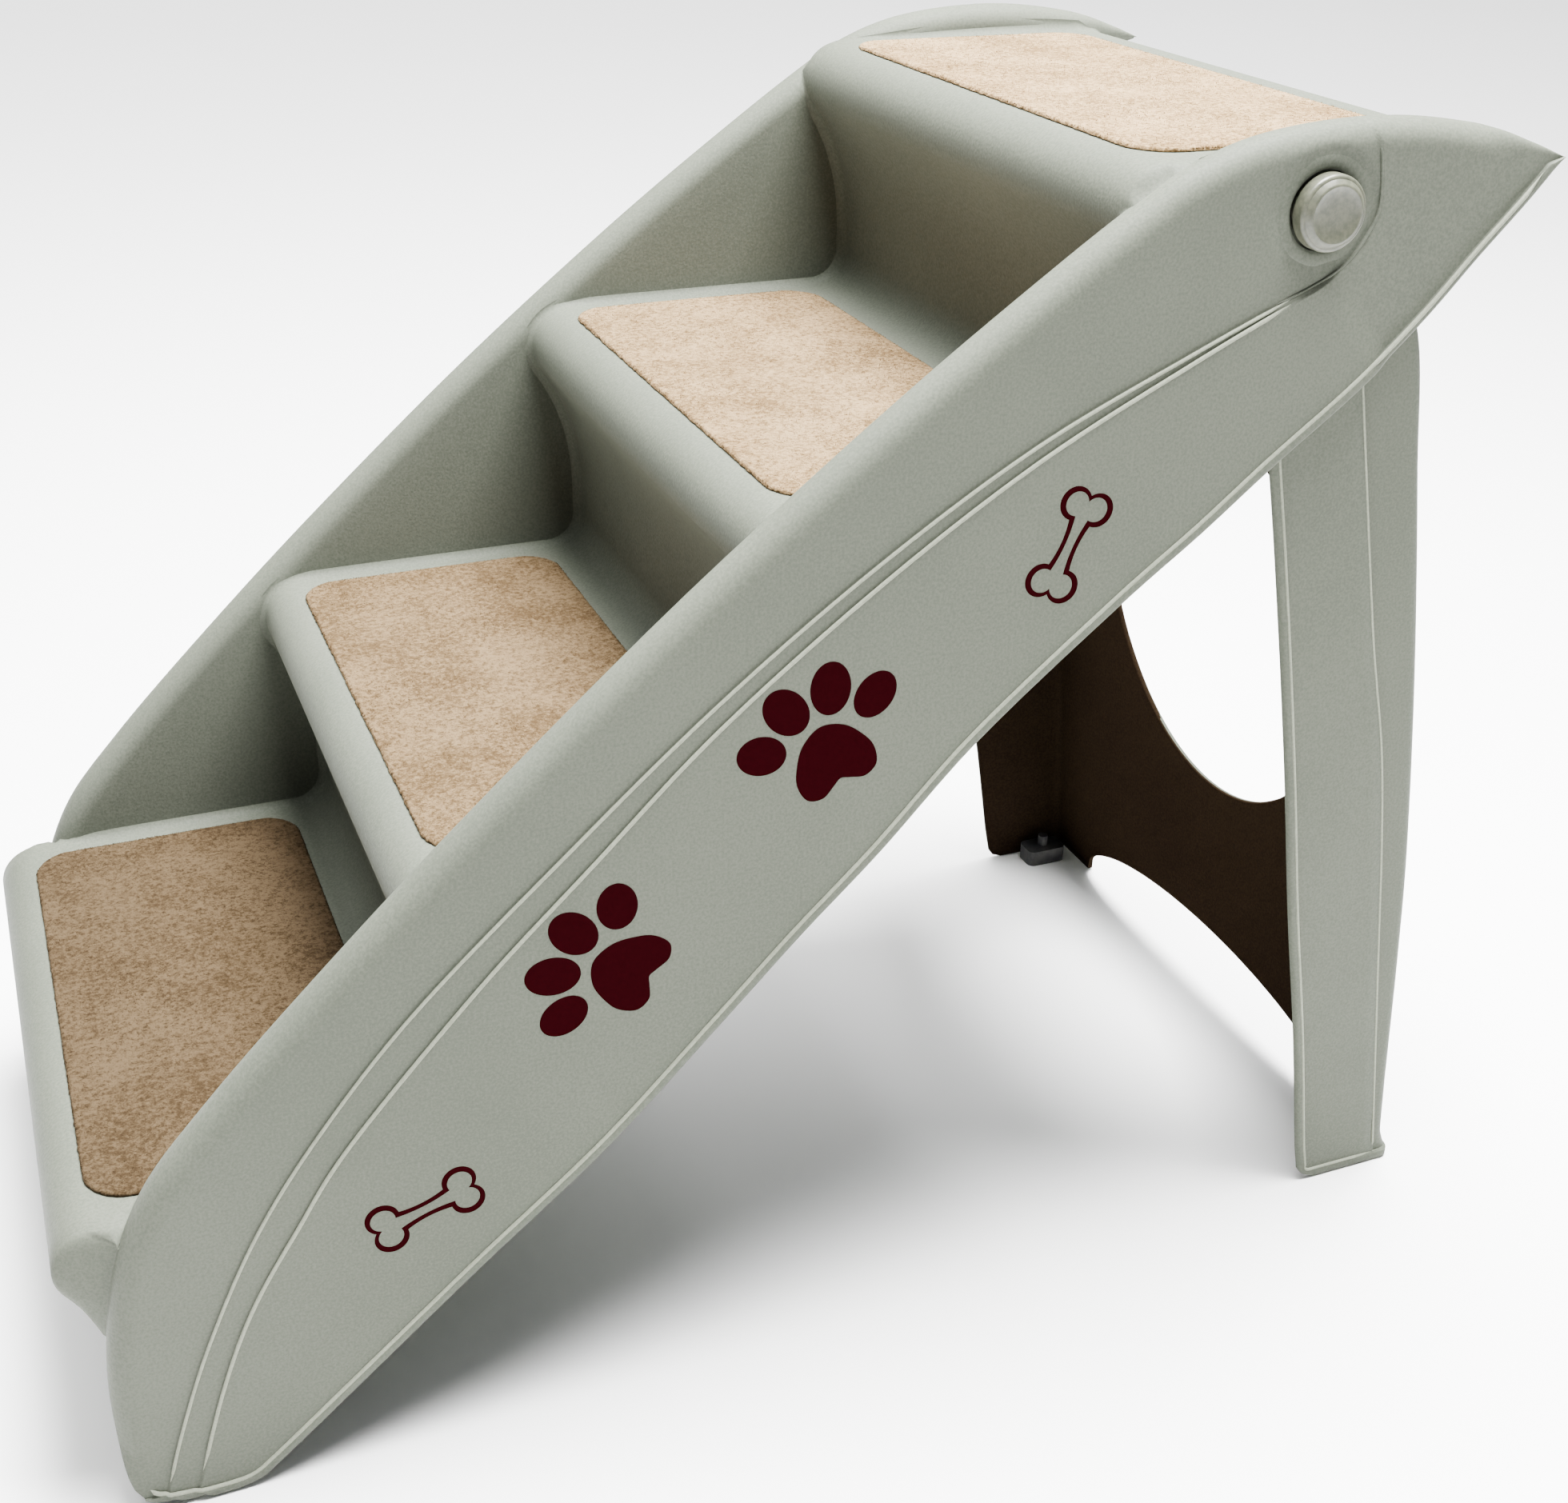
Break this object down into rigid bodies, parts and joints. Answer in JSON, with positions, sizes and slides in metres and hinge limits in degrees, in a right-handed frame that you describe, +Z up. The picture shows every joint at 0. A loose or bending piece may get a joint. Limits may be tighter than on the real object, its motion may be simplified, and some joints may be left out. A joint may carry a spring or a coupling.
{
  "type": "folding pet stairs",
  "caption": "Folding carpeted pet stairs: moulded step shell with side rails, glued carpet treads and a locking rear leg that folds under.",
  "frame": {"origin": "middle of the bounding box on the floor, with the leg open", "axes": "+X towards the high end of the stairs, +Y across to the climber's left, +Z up"},
  "size_m": [0.623, 0.3578, 0.5136],
  "materials": {
    "moulded_plastic": "warm grey-green moulded plastic with a fine pebbled grain",
    "leg_plastic": "warm grey-green moulded plastic with a fine pebbled grain",
    "button_plastic": "polished rim with a satin dished face",
    "carpet_pile": "short cut-pile beige carpet",
    "foot_rubber": "matt black rubber",
    "spring_steel": "zinc-plated steel"
  },
  "bodies": {
    "stairs": {"stair_shell": "moulded_plastic", "tread_carpet_1": "carpet_pile", "tread_carpet_2": "carpet_pile", "tread_carpet_3": "carpet_pile", "tread_carpet_4": "carpet_pile", "left_front_foot": "foot_rubber", "right_front_foot": "foot_rubber"},
    "leg": {"rear_leg": "leg_plastic", "left_rear_foot": "foot_rubber", "left_pivot_pin": "spring_steel", "left_retaining_clip": "spring_steel", "left_lock_spring": "spring_steel", "right_rear_foot": "foot_rubber", "right_pivot_pin": "spring_steel", "right_retaining_clip": "spring_steel", "right_lock_spring": "spring_steel"},
    "left_button": {"left_push_button": "button_plastic", "left_lock_plunger": "button_plastic"},
    "right_button": {"right_push_button": "button_plastic", "right_lock_plunger": "button_plastic"}
  },
  "joints": [
    {"name": "leg_fold", "type": "hinge", "parent": "stairs", "child": "leg", "pos_m": [0.196, 0, 0.481], "axis": [0, 1, 0], "range_deg": [0, 52]},
    {"name": "left_button_press", "type": "slide", "parent": "leg", "child": "left_button", "axis": [0, -1, 0], "range_m": [0, 0.004], "stiffness_N_per_m": 800, "springref_m": -0.004, "deforming": ["left_lock_spring"]},
    {"name": "right_button_press", "type": "slide", "parent": "leg", "child": "right_button", "axis": [0, 1, 0], "range_m": [0, 0.004], "stiffness_N_per_m": 800, "springref_m": -0.004, "deforming": ["right_lock_spring"]}
  ]
}
